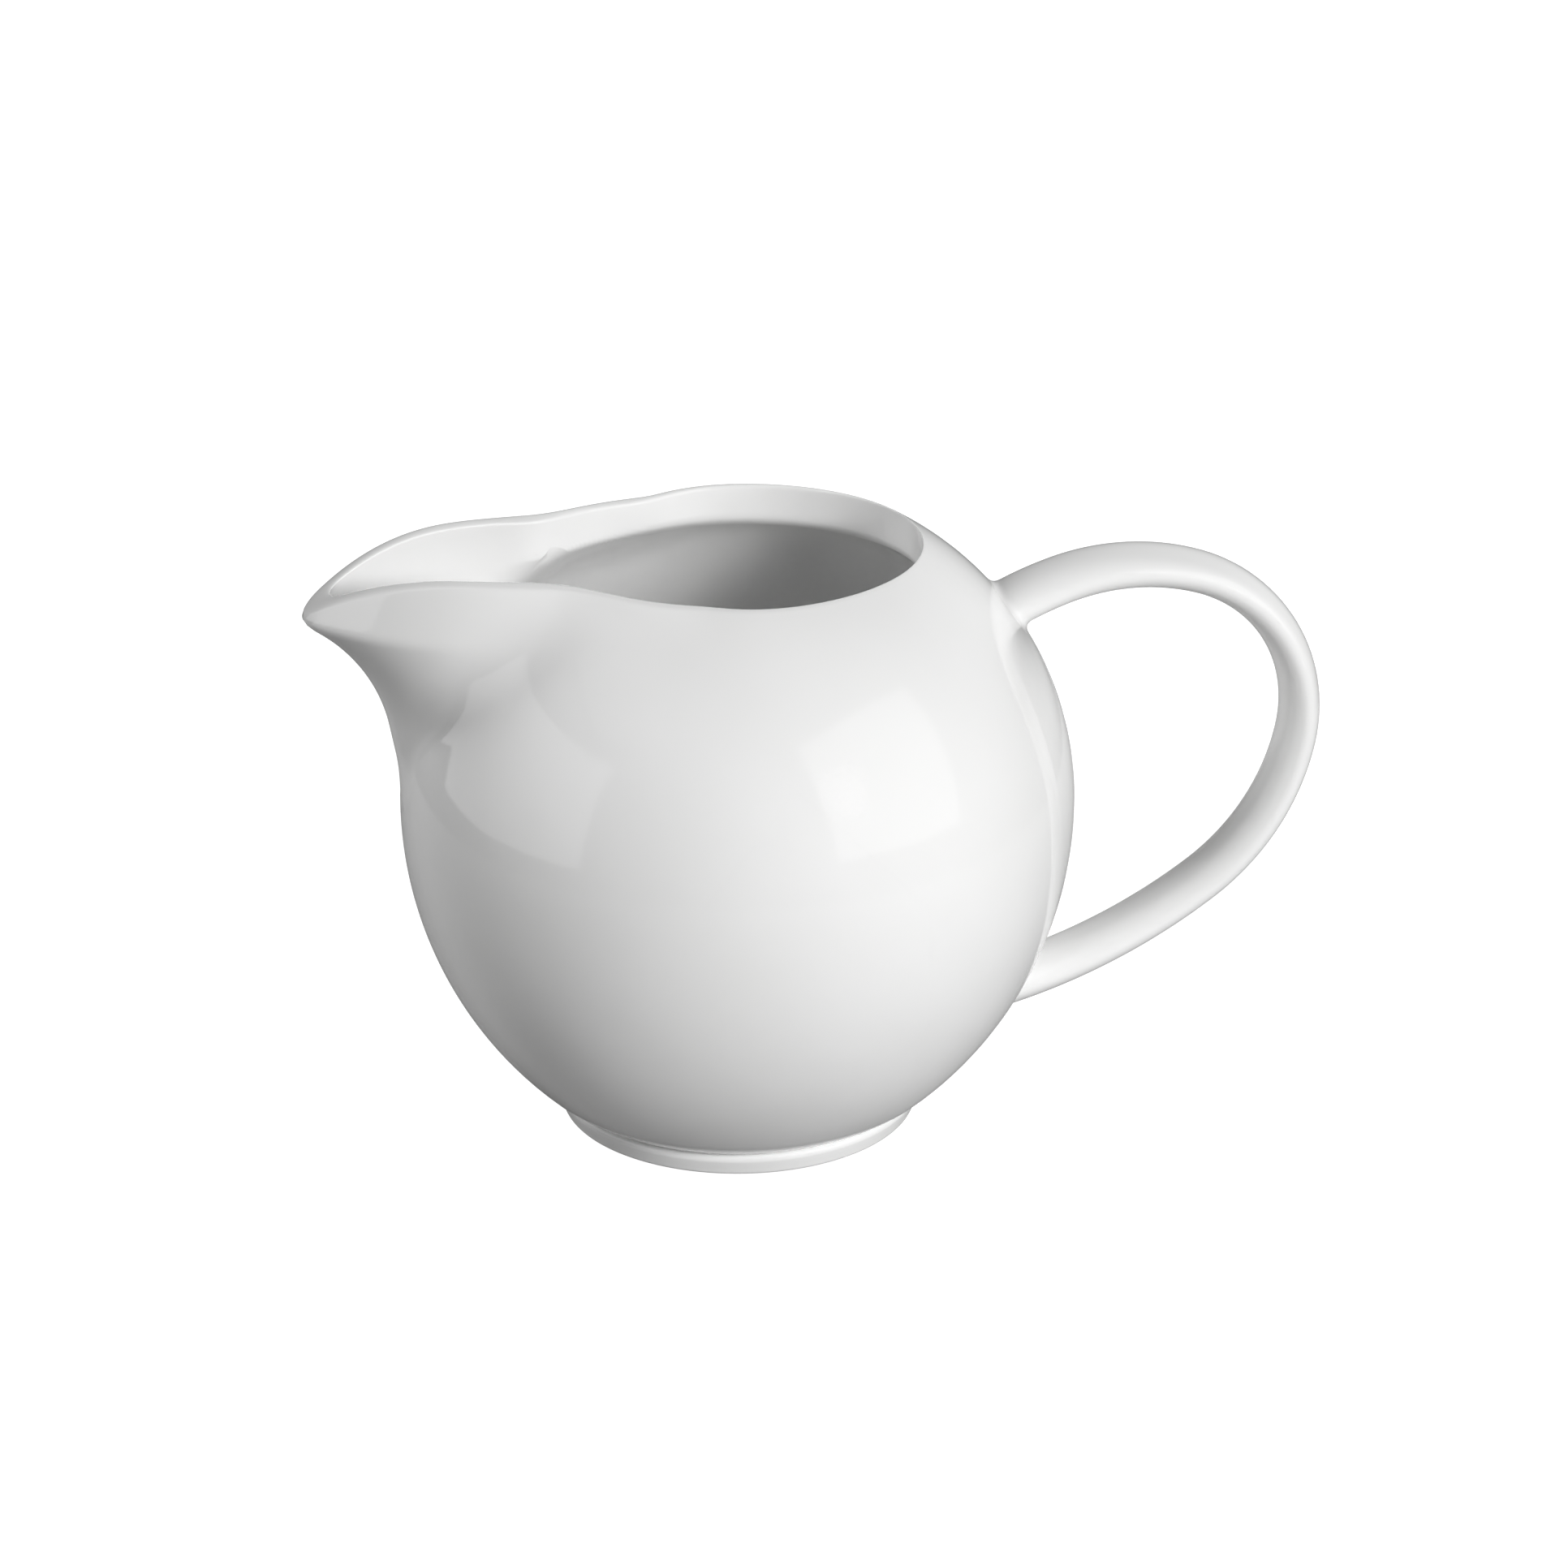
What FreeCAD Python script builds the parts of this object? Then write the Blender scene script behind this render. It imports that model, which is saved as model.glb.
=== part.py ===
import FreeCAD, Part
import Sketcher

import math
import os

# Round-bellied porcelain cream pitcher: a slip-cast bowl with a mouth bore, a beaked spout, a foot ring,
# and an ear-shaped strap handle stuck on with two beads of slip.
# Frame: +Z up, +X towards the handle, the spout points to -X. The origin is the centre of the foot ring
# on the surface that the pitcher stands on. Millimetres.

DIMENSIONS = {
    # Bowl: arcs that leave the belly circle upright, upwards and downwards, outside and inside
    "belly_radius": 45.0,
    "belly_height": 44.5,
    "upper_arc": 41.8,
    "lower_arc": 52.1,
    "wall": 4.0,
    "upper_arc_inside": 36.1,
    "lower_arc_inside": 47.3,
    "floor_height": 6.6,
    "floor_round": 6.0,
    "mouth_radius": 24.4,
    "neck_round": 0.9,
    "rim_round": 0.75,
    "blank_top": 95.0,
    # Foot ring
    "foot_height": 3.0,
    "foot_inner": 20.6,
    "foot_outer": 24.1,
    "foot_flare": 24.75,
    "foot_round": 0.6,
    "foot_edge_round": 0.4,
    # Spout: horizontal sections, each two side arcs that meet in a small nose arc
    "spout_back": 16.0,
    "spout_shoulder": 26.5,
    "spout_flare": 13.0,
    "spout_wall": 2.5,
    "channel_back": 12.5,
    # Rim line of the spout, seen from the side: two arcs that share their highest point
    "lip_peak_reach": 37.0,
    "lip_peak_height": 81.35,
    "lip_nose_radius": 32.0,
    "lip_mouth_radius": 180.0,
    "lip_cut_reach": 60.0,
    "lip_cut_height": 90.0,
    # Handle: a flat oval section on a path of tangent arcs
    "handle_half_width": 5.0,
    "handle_half_thick_root": 3.1,
    "handle_half_thick_back": 2.5,
    "handle_start_reach": 29.8,
    "handle_start_height": 65.1,
    "handle_start_heading": 36.3,
    # Slip beads at the two ends of the handle
    "bead_spread": 1.1,
    "bead_feather": 0.12,
    "upper_bead_reach": 2.6,
    "lower_bead_reach": 4.2,
    "bead_depth": 4.0,
}

# Spout sections, lowest first: height, reach of the nose, half width at the shoulder, nose radius
SPOUT_STATIONS = [
    (50.0, 43.4, 10.4, 6.0),
    (56.0, 45.3, 12.6, 6.0),
    (62.0, 47.4, 14.2, 5.0),
    (68.0, 51.2, 15.5, 4.0),
    (72.5, 56.0, 15.6, 3.0),
    (75.5, 56.8, 15.2, 2.6),
    (83.0, 56.0, 12.4, 2.6),
]

# Handle path, from the upper root round to the lower one: radius and turn in degrees of each arc
HANDLE_ARCS = [(49.5, 18.0), (30.8, 36.0), (21.6, 82.5), (32.9, 43.4), (79.5, 27.0)]

# How near two lengths are taken as equal, and how many times a search halves its range
TINY = 0.01
HALVINGS = 60

SHEET = "dims"
NODES = ["bowl", "spout", "foot_ring", "handle", "upper_handle_joint", "lower_handle_joint"]

doc = FreeCAD.newDocument("pitcher")


def make_sheet():
    sheet = doc.addObject("Spreadsheet::Sheet", SHEET)
    names = dict(DIMENSIONS)
    for number, station in enumerate(SPOUT_STATIONS, start=1):
        for word, number_of_mm in zip(("height", "nose", "width", "round"), station):
            names["spout_%s_%d" % (word, number)] = number_of_mm
    for number, (radius, turn) in enumerate(HANDLE_ARCS, start=1):
        names["handle_radius_%d" % number] = radius
        names["handle_turn_%d" % number] = turn
    for row, (alias, amount) in enumerate(names.items(), start=1):
        sheet.set("A%d" % row, alias)
        sheet.set("B%d" % row, str(amount))
        sheet.setAlias("B%d" % row, alias)
    doc.recompute()
    return sheet


sheet = make_sheet()


def size(alias):
    return float(sheet.get(alias))


def value(expression):
    """The number that an expression of sheet cells, sums and differences comes to."""
    total, sign = 0.0, 1
    for word in expression.split():
        if word in "+-":
            sign = 1 if word == "+" else -1
        else:
            total += sign * (size(word[1:]) if word.startswith("$") else float(word))
    return total


def bind(thing, **sizes):
    """Each keyword is a property and its value an expression in which $ stands for the sheet."""
    for path, expression in sizes.items():
        thing.setExpression(path.replace("__", "."), expression.replace("$", "<<%s>>." % SHEET))


def origin_plane(body, role):
    return next(part for part in body.Origin.OriginFeatures if part.Role == role)


def add_sketch(body, name, role):
    sketch = body.newObject("Sketcher::SketchObject", name)
    sketch.AttachmentSupport = [(origin_plane(body, role), "")]
    sketch.MapMode = "FlatFace"
    return sketch


def name_constraint(sketch, constraint, name, expression):
    index = sketch.addConstraint(constraint)
    sketch.renameConstraint(index, name)
    bind(sketch, **{"Constraints__" + name: expression})


def boolean(kind, name, base, tool):
    result = doc.addObject(kind, name)
    result.Base = base
    result.Tool = tool
    return result


# ---------------------------------------------------------------- bowl

def arc_reach(radius, arc, rise):
    """Distance from the axis of a belly arc, this far above or below the belly circle."""
    return radius - arc + math.sqrt(arc ** 2 - rise ** 2)


def arc_rise(radius, arc, reach):
    """How far above or below the belly circle a belly arc comes to this distance from the axis."""
    return math.sqrt(arc ** 2 - (reach - radius + arc) ** 2)


def round_blank(name, floor, radius, upper_arc, lower_arc):
    """A solid round body on a flat floor, with a plug as wide as the mouth standing out of its top.

    The arguments are expressions, so that the outside and the cavity are made in one way.
    """
    body = doc.addObject("PartDesign::Body", name)
    sketch = add_sketch(body, name + "_section", "XZ_Plane")
    low, belly, wide = value(floor), size("belly_height"), value(radius)
    up_radius, down_radius = value(upper_arc), value(lower_arc)
    mouth, top = size("mouth_radius"), size("blank_top")
    seat = arc_reach(wide, down_radius, belly - low)
    shoulder = belly + arc_rise(wide, up_radius, mouth)
    normal = FreeCAD.Vector(0, 0, 1)

    def point(x, y):
        return FreeCAD.Vector(x, y, 0)

    def line(first, last):
        return Part.LineSegment(point(*first), point(*last))

    def arc(arc_radius, start, end):
        circle = Part.Circle(point(wide - arc_radius, belly), normal, arc_radius)
        return Part.ArcOfCircle(circle, start, end)

    fall = -math.asin((belly - low) / down_radius)
    climb = math.asin((shoulder - belly) / up_radius)
    base, lower, upper, plug, roof, axis = sketch.addGeometry([
        line((0, low), (seat, low)),
        arc(down_radius, fall, 0),
        arc(up_radius, 0, climb),
        line((mouth, shoulder), (mouth, top)),
        line((mouth, top), (0, top)),
        line((0, top), (0, low)),
    ])
    start, end, centre, origin = 1, 2, 3, -1
    ring = [base, lower, upper, plug, roof, axis]
    sketch.addConstraint(
        [Sketcher.Constraint("Coincident", first, end, following, start)
         for first, following in zip(ring, ring[1:] + ring[:1])]
        + [Sketcher.Constraint("Horizontal", base),
           Sketcher.Constraint("Vertical", plug),
           Sketcher.Constraint("Horizontal", roof),
           Sketcher.Constraint("PointOnObject", base, start, -2),
           Sketcher.Constraint("PointOnObject", roof, end, -2),
           Sketcher.Constraint("Horizontal", lower, centre, lower, end),
           Sketcher.Constraint("Horizontal", upper, centre, upper, start)])
    for dimension, constraint, expression in (
        ("floor", Sketcher.Constraint("DistanceY", origin, 1, base, start, low), floor),
        ("belly_height", Sketcher.Constraint("DistanceY", origin, 1, lower, end, belly), "$belly_height"),
        ("belly_radius", Sketcher.Constraint("DistanceX", origin, 1, lower, end, wide), radius),
        ("lower_arc", Sketcher.Constraint("Radius", lower, down_radius), lower_arc),
        ("upper_arc", Sketcher.Constraint("Radius", upper, up_radius), upper_arc),
        ("mouth_radius", Sketcher.Constraint("DistanceX", origin, 1, plug, start, mouth),
         "$mouth_radius"),
        ("top", Sketcher.Constraint("DistanceY", origin, 1, roof, start, top), "$blank_top"),
    ):
        name_constraint(sketch, constraint, dimension, expression)
    turned = body.newObject("PartDesign::Revolution", name + "_revolution")
    turned.Profile = sketch
    turned.ReferenceAxis = (sketch, ["V_Axis"])
    turned.Angle = 360
    return body


def level_circle(shape, radius, height):
    """Numbers of the edges that lie level at this height, at this distance from the axis."""
    def matches(edge):
        corner = edge.Vertexes[0].Point
        level = edge.BoundBox.ZLength < TINY and abs(corner.z - height) < TINY
        return level and abs(math.hypot(corner.x, corner.y) - radius) < TINY
    return [number for number, edge in enumerate(shape.Edges, start=1) if matches(edge)]


def make_bowl(belly, channel):
    inside_radius = size("belly_radius") - size("wall")
    cavity = round_blank("cavity", "$floor_height", "$belly_radius - $wall", "$upper_arc_inside",
                         "$lower_arc_inside")
    wall = boolean("Part::Cut", "sharp_wall", belly, cavity)
    doc.recompute()
    middle, mouth = size("belly_height"), size("mouth_radius")
    rim = middle + arc_rise(size("belly_radius"), size("upper_arc"), mouth)
    neck = middle + arc_rise(inside_radius, size("upper_arc_inside"), mouth)
    floor = size("floor_height")
    corner = arc_reach(inside_radius, size("lower_arc_inside"), middle - floor)
    rounded = doc.addObject("Part::Fillet", "rounded_wall")
    rounded.Base = wall
    rounded.Edges = [
        (number, size(rounding), size(rounding))
        for reach, height, rounding in (
            (mouth, rim, "rim_round"), (mouth, neck, "neck_round"), (corner, floor, "floor_round"))
        for number in level_circle(wall.Shape, reach, height)]
    return boolean("Part::Cut", "bowl", rounded, channel)


# ---------------------------------------------------------------- spout

def side_arc_radius(nose, shoulder, half_width, nose_round):
    """Radius of the arc that leaves the shoulder square to it and runs tangent into the nose arc."""
    run = nose - nose_round - shoulder
    return (run ** 2 + half_width ** 2 - nose_round ** 2) / (2 * (half_width - nose_round))


def beak_sketch(body, number, inset, back):
    """One horizontal section of the spout, drawn pointing to -X, moved inwards by the inset."""
    station = {word: size("spout_%s_%d" % (word, number)) for word in ("nose", "width", "round")}
    depth = size(inset) if inset else 0.0
    nose = station["nose"] - depth
    half_width = station["width"] - depth
    nose_round = station["round"] - depth / 2
    flare = size("spout_flare") + depth
    shoulder, edge = size("spout_shoulder"), size(back)
    radius = side_arc_radius(nose, shoulder, half_width, nose_round)
    turn = math.atan2(radius - half_width, -(nose - nose_round - shoulder))
    bend = math.asin((shoulder - edge) / flare)
    rear_width = half_width + flare * (1 - math.cos(bend))
    normal = FreeCAD.Vector(0, 0, 1)

    def point(reach, across):
        return FreeCAD.Vector(-reach, across, 0)

    def arc(reach, across, arc_radius, start, end):
        return Part.ArcOfCircle(Part.Circle(point(reach, across), normal, arc_radius), start, end)

    sketch = add_sketch(body, "%s_section_%d" % (body.Name, number), "XY_Plane")
    bind(sketch, AttachmentOffset__Base__z="$spout_height_%d" % number)
    half, full = math.pi / 2, 2 * math.pi
    left, tip, right, right_flare, rear, left_flare = sketch.addGeometry([
        arc(shoulder, half_width - radius, radius, half, turn),
        arc(nose - nose_round, 0, nose_round, turn, full - turn),
        arc(shoulder, radius - half_width, radius, full - turn, 3 * half),
        arc(shoulder, -half_width - flare, flare, half - bend, half),
        Part.LineSegment(point(edge, -rear_width), point(edge, rear_width)),
        arc(shoulder, half_width + flare, flare, 3 * half, 3 * half + bend),
    ])
    start, end, centre, axis = 1, 2, 3, -1
    sketch.addConstraint([
        Sketcher.Constraint("Tangent", left, end, tip, start),
        Sketcher.Constraint("Tangent", tip, end, right, start),
        Sketcher.Constraint("Tangent", right, end, right_flare, end),
        Sketcher.Constraint("Tangent", left_flare, start, left, start),
        Sketcher.Constraint("Coincident", right_flare, start, rear, start),
        Sketcher.Constraint("Coincident", rear, end, left_flare, end),
        Sketcher.Constraint("Vertical", left, centre, left, start),
        Sketcher.Constraint("Vertical", right, centre, right, end),
        Sketcher.Constraint("Symmetric", left, start, right, end, axis),
        Sketcher.Constraint("Symmetric", left_flare, end, right_flare, start, axis),
        Sketcher.Constraint("PointOnObject", tip, centre, axis),
    ])
    less = " - $" + inset if inset else ""
    half_less = " - $" + inset + " / 2" if inset else ""
    more = " + $" + inset if inset else ""
    for name, constraint, expression in (
        ("nose_round", Sketcher.Constraint("Radius", tip, nose_round),
         "$spout_round_%d%s" % (number, half_less)),
        ("nose_centre", Sketcher.Constraint("DistanceX", tip, centre, axis, 1, nose - nose_round),
         "$spout_nose_%d - $spout_round_%d%s" % (number, number, half_less)),
        ("shoulder", Sketcher.Constraint("DistanceX", left, start, axis, 1, shoulder),
         "$spout_shoulder"),
        ("back", Sketcher.Constraint("DistanceX", rear, start, axis, 1, edge), "$" + back),
        ("half_width", Sketcher.Constraint("DistanceY", axis, 1, left, start, half_width),
         "$spout_width_%d%s" % (number, less)),
        ("flare", Sketcher.Constraint("Radius", left_flare, flare), "$spout_flare" + more),
    ):
        name_constraint(sketch, constraint, name, expression)
    return sketch


def beak(name, inset, back):
    body = doc.addObject("PartDesign::Body", name)
    numbers = range(1, len(SPOUT_STATIONS) + 1)
    sketches = [beak_sketch(body, number, inset, back) for number in numbers]
    loft = body.newObject("PartDesign::AdditiveLoft", name + "_loft")
    loft.Profile = sketches[0]
    loft.Sections = sketches[1:]
    return body


def cut_rim_line(body):
    """Take off everything above the spout's rim line."""
    sketch = add_sketch(body, "rim_line", "XZ_Plane")
    up = FreeCAD.Vector(0, 0, 1)
    reach, height = size("lip_peak_reach"), size("lip_peak_height")
    nose_radius, mouth_radius = size("lip_nose_radius"), size("lip_mouth_radius")
    front, top = size("lip_cut_reach"), size("lip_cut_height")

    def arc(radius, end_reach):
        centre = FreeCAD.Vector(-reach, height - radius, 0)
        side = math.acos((reach - end_reach) / radius)
        first, last = sorted((side, math.pi / 2))
        return Part.ArcOfCircle(Part.Circle(centre, up, radius), first, last)

    nose_arc, mouth_arc = arc(nose_radius, front), arc(mouth_radius, 0.0)
    corner, near = nose_arc.EndPoint, mouth_arc.StartPoint
    above_nose, above_axis = FreeCAD.Vector(-front, top, 0), FreeCAD.Vector(0, top, 0)
    nose_side, mouth_side, rise, roof, drop = sketch.addGeometry([
        nose_arc,
        mouth_arc,
        Part.LineSegment(corner, above_nose),
        Part.LineSegment(above_nose, above_axis),
        Part.LineSegment(above_axis, near),
    ])
    start, end, centre, origin = 1, 2, 3, -1
    sketch.addConstraint([
        Sketcher.Constraint("Tangent", nose_side, start, mouth_side, end),
        Sketcher.Constraint("Coincident", nose_side, end, rise, start),
        Sketcher.Constraint("Coincident", rise, end, roof, start),
        Sketcher.Constraint("Coincident", roof, end, drop, start),
        Sketcher.Constraint("Coincident", drop, end, mouth_side, start),
        Sketcher.Constraint("Vertical", rise),
        Sketcher.Constraint("Horizontal", roof),
        Sketcher.Constraint("Vertical", drop),
        Sketcher.Constraint("PointOnObject", drop, start, -2),
        Sketcher.Constraint("Vertical", nose_side, centre, nose_side, start),
    ])
    for name, constraint in (
        ("lip_nose_radius", Sketcher.Constraint("Radius", nose_side, nose_radius)),
        ("lip_mouth_radius", Sketcher.Constraint("Radius", mouth_side, mouth_radius)),
        ("lip_peak_reach", Sketcher.Constraint("DistanceX", nose_side, start, origin, 1, reach)),
        ("lip_peak_height", Sketcher.Constraint("DistanceY", origin, 1, nose_side, start, height)),
        ("lip_cut_reach", Sketcher.Constraint("DistanceX", rise, start, origin, 1, front)),
        ("lip_cut_height", Sketcher.Constraint("DistanceY", origin, 1, roof, start, top)),
    ):
        name_constraint(sketch, constraint, name, "$" + name)
    pocket = body.newObject("PartDesign::Pocket", "above_rim_line")
    pocket.Profile = sketch
    pocket.Midplane = True
    bind(pocket, Length="4 * $belly_radius")
    return body


def make_spout(belly, channel):
    blank = cut_rim_line(beak("spout_blank", None, "spout_back"))
    outside = boolean("Part::Cut", "spout_outside_bowl", blank, belly)
    return boolean("Part::Cut", "spout", outside, channel)


# ---------------------------------------------------------------- foot ring

def make_foot_ring():
    body = doc.addObject("PartDesign::Body", "foot_ring")
    sketch = add_sketch(body, "foot_section", "XZ_Plane")
    inner, outer, flare = size("foot_inner"), size("foot_outer"), size("foot_flare")
    height = size("foot_height")
    corners = [FreeCAD.Vector(x, y, 0) for x, y in
               ((inner, 0), (outer, 0), (flare, height), (inner, height))]
    base, side, seat, back = sketch.addGeometry(
        [Part.LineSegment(corners[n], corners[(n + 1) % 4]) for n in range(4)])
    start, end, origin = 1, 2, -1
    sketch.addConstraint(
        [Sketcher.Constraint("Coincident", line, end, following, start)
         for line, following in ((base, side), (side, seat), (seat, back), (back, base))]
        + [Sketcher.Constraint("PointOnObject", base, start, -1),
           Sketcher.Constraint("Horizontal", base),
           Sketcher.Constraint("Horizontal", seat),
           Sketcher.Constraint("Vertical", back)])
    for name, constraint in (
        ("foot_inner", Sketcher.Constraint("DistanceX", origin, 1, base, start, inner)),
        ("foot_outer", Sketcher.Constraint("DistanceX", origin, 1, base, end, outer)),
        ("foot_flare", Sketcher.Constraint("DistanceX", origin, 1, side, end, flare)),
        ("foot_height", Sketcher.Constraint("DistanceY", origin, 1, side, end, height)),
    ):
        name_constraint(sketch, constraint, name, "$" + name)
    ring = body.newObject("PartDesign::Revolution", "foot_revolution")
    ring.Profile = sketch
    ring.ReferenceAxis = (sketch, ["V_Axis"])
    ring.Angle = 360
    doc.recompute()
    last = ring
    for name, radius, circle in (
        ("foot_edge_rounding", "foot_edge_round", (size("foot_flare"), height)),
        ("foot_base_rounding", "foot_round", (size("foot_outer"), 0.0)),
    ):
        edges = ["Edge%d" % number for number in level_circle(last.Shape, *circle)]
        rounding = body.newObject("PartDesign::Fillet", name)
        rounding.Base = (last, edges)
        bind(rounding, Radius="$" + radius)
        doc.recompute()
        last = rounding
    return body


# ---------------------------------------------------------------- handle

def handle_arcs():
    return [(size("handle_radius_%d" % number), math.radians(size("handle_turn_%d" % number)))
            for number in range(1, len(HANDLE_ARCS) + 1)]


def handle_path_length():
    return sum(radius * turn for radius, turn in handle_arcs())


def handle_path(distance):
    """Reach, height and heading of the handle's centre line, this far along it from its start."""
    reach, height = size("handle_start_reach"), size("handle_start_height")
    heading = math.radians(size("handle_start_heading"))
    left = distance
    for radius, turn in handle_arcs():
        swept = min(left / radius, turn)
        chord = 2 * radius * math.sin(swept / 2)
        reach += chord * math.cos(heading - swept / 2)
        height += chord * math.sin(heading - swept / 2)
        heading -= swept
        left -= swept * radius
    return reach, height, heading


def oval(name, distance, thick, extra):
    """An oval across the handle's centre line, larger than the handle by the extra all round."""
    reach, height, heading = handle_path(distance)
    along = FreeCAD.Vector(math.cos(heading), 0, math.sin(heading))
    across = FreeCAD.Vector(0, 1, 0)
    outwards = FreeCAD.Vector(-math.sin(heading), 0, math.cos(heading))
    ellipse = doc.addObject("Part::Ellipse", name)
    bind(ellipse, MajorRadius="$handle_half_width + " + extra, MinorRadius=thick + " + " + extra)
    ellipse.Placement = FreeCAD.Placement(
        FreeCAD.Vector(reach, 0, height), FreeCAD.Rotation(across, outwards, along, "ZXY"))
    return ellipse


def path_sketch():
    """The handle's centre line: arcs that run tangent into each other, in the plane of the spout."""
    sketch = doc.addObject("Sketcher::SketchObject", "handle_path")
    sketch.Placement = FreeCAD.Placement(
        FreeCAD.Vector(0, 0, 0), FreeCAD.Rotation(FreeCAD.Vector(1, 0, 0), 90))
    normal = FreeCAD.Vector(0, 0, 1)
    distance, arcs = 0.0, []
    for radius, turn in handle_arcs():
        reach, height, heading = handle_path(distance)
        centre = FreeCAD.Vector(reach + radius * math.sin(heading), height - radius * math.cos(heading), 0)
        first = heading + math.pi / 2
        arcs.append(Part.ArcOfCircle(Part.Circle(centre, normal, radius), first - turn, first))
        distance += radius * turn
    numbers = sketch.addGeometry(arcs)
    start, end, centre, origin = 1, 2, 3, -1
    sketch.addConstraint([Sketcher.Constraint("Tangent", arc, start, following, end)
                          for arc, following in zip(numbers, numbers[1:])])
    for number, (arc, (radius, turn)) in enumerate(zip(numbers, handle_arcs()), start=1):
        name_constraint(sketch, Sketcher.Constraint("Radius", arc, radius), "radius_%d" % number,
                        "$handle_radius_%d" % number)
        name_constraint(sketch, Sketcher.Constraint("Angle", arc, turn), "turn_%d" % number,
                        "$handle_turn_%d * 1deg" % number)
    reach, height, heading = handle_path(0.0)
    radius = handle_arcs()[0][0]
    for name, constraint, expression in (
        ("start_reach", Sketcher.Constraint("DistanceX", origin, 1, numbers[0], end, reach),
         "$handle_start_reach"),
        ("start_height", Sketcher.Constraint("DistanceY", origin, 1, numbers[0], end, height),
         "$handle_start_height"),
        ("heading", Sketcher.Constraint("DistanceX", numbers[0], end, numbers[0], centre,
                                        radius * math.sin(heading)),
         "$handle_radius_1 * sin($handle_start_heading * 1deg)"),
    ):
        name_constraint(sketch, constraint, name, expression)
    return sketch


def loft(name, sections):
    result = doc.addObject("Part::Loft", name)
    result.Sections = sections
    result.Solid = True
    return result


def belly_gap(distance):
    """How far outside the bowl, level with it, a point of the handle's centre line is."""
    reach, height, _ = handle_path(distance)
    rise = height - size("belly_height")
    arc = size("upper_arc") if rise > 0 else size("lower_arc")
    return reach - arc_reach(size("belly_radius"), arc, rise)


def belly_crossing(inside, outside):
    """Distance along the centre line at which it passes through the bowl's surface."""
    for _ in range(HALVINGS):
        middle = (inside + outside) / 2
        if belly_gap(middle) < 0:
            inside = middle
        else:
            outside = middle
    return (inside + outside) / 2


def make_handle(belly):
    root, back = "$handle_half_thick_root", "$handle_half_thick_back"
    thinnest = sum(radius * turn for radius, turn in handle_arcs()[:3])
    strap = doc.addObject("Part::Sweep", "strap")
    strap.Sections = [
        oval("upper_oval", 0.0, root, "0"),
        oval("back_oval", thinnest, back, "0"),
        oval("lower_oval", handle_path_length(), root, "0"),
    ]
    strap.Spine = path_sketch()
    strap.Solid = True
    strap.Frenet = False
    return strap, boolean("Part::Cut", "handle", strap, belly)


def make_bead(name, crossing, outwards, reach, belly, strap):
    """The bead of slip round one end of the handle: widest on the bowl and feathered out on the handle."""
    thick = "$handle_half_thick_root"
    ovals = [
        oval(name + "_root", crossing - outwards * size("bead_depth"), thick, "2 * $bead_spread"),
        oval(name + "_middle", crossing + outwards * size(reach) / 3, thick, "$bead_spread / 2"),
        oval(name + "_end", crossing + outwards * size(reach), thick, "$bead_feather"),
    ]
    mound = loft(name + "_mound", ovals)
    round_handle = boolean("Part::Cut", name + "_round_handle", mound, strap)
    return boolean("Part::Cut", name, round_handle, belly)


# ---------------------------------------------------------------- the pitcher

def build():
    belly = round_blank("belly", "$foot_height", "$belly_radius", "$upper_arc", "$lower_arc")
    channel = beak("channel", "spout_wall", "channel_back")
    parts = [make_bowl(belly, channel), make_spout(belly, channel), make_foot_ring()]
    strap, handle = make_handle(belly)
    parts.append(handle)
    middle = handle_path_length() / 2
    upper = belly_crossing(0.0, middle)
    lower = belly_crossing(handle_path_length(), middle)
    parts.append(make_bead("upper_handle_joint", upper, 1, "upper_bead_reach", belly, strap))
    parts.append(make_bead("lower_handle_joint", lower, -1, "lower_bead_reach", belly, strap))
    doc.recompute()
    for part, label in zip(parts, NODES):
        part.Label = label
    return parts


def check(parts):
    for thing in doc.Objects:
        if "Invalid" in thing.State or "Error" in thing.State:
            raise RuntimeError("%s is %s" % (thing.Name, thing.State))
    for part in parts:
        if part.Shape.isNull() or not part.Shape.isValid():
            raise RuntimeError("%s has no valid shape" % part.Label)


def write(parts):
    os.makedirs("parts", exist_ok=True)
    for part in parts:
        part.Shape.exportStep(os.path.join("parts", part.Label + ".step"))
        solids = part.Shape.Solids
        print("%-20s %d solid(s) %9.1f mm3  %s" % (part.Label, len(solids), part.Shape.Volume,
                                                  part.Shape.BoundBox))


pieces = build()
check(pieces)
write(pieces)
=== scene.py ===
import math

import bpy
import numpy as np
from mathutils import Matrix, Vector


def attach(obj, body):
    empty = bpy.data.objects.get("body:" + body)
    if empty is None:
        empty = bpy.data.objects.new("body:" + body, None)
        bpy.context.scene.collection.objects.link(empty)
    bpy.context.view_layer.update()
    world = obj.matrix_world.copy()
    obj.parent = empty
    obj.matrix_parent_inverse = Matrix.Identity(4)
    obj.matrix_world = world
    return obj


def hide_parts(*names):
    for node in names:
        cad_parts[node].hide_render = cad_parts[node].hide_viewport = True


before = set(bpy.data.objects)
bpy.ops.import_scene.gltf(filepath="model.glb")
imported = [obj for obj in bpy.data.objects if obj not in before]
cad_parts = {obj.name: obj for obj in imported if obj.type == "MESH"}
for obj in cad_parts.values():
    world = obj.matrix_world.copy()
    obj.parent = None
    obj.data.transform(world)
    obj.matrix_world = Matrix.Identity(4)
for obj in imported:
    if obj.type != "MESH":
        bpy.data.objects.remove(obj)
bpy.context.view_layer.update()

# The pitcher, in millimetres, in the frame of the CAD model: spout to -X, handle to +X, base at z = 0.
MM = 0.001

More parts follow.
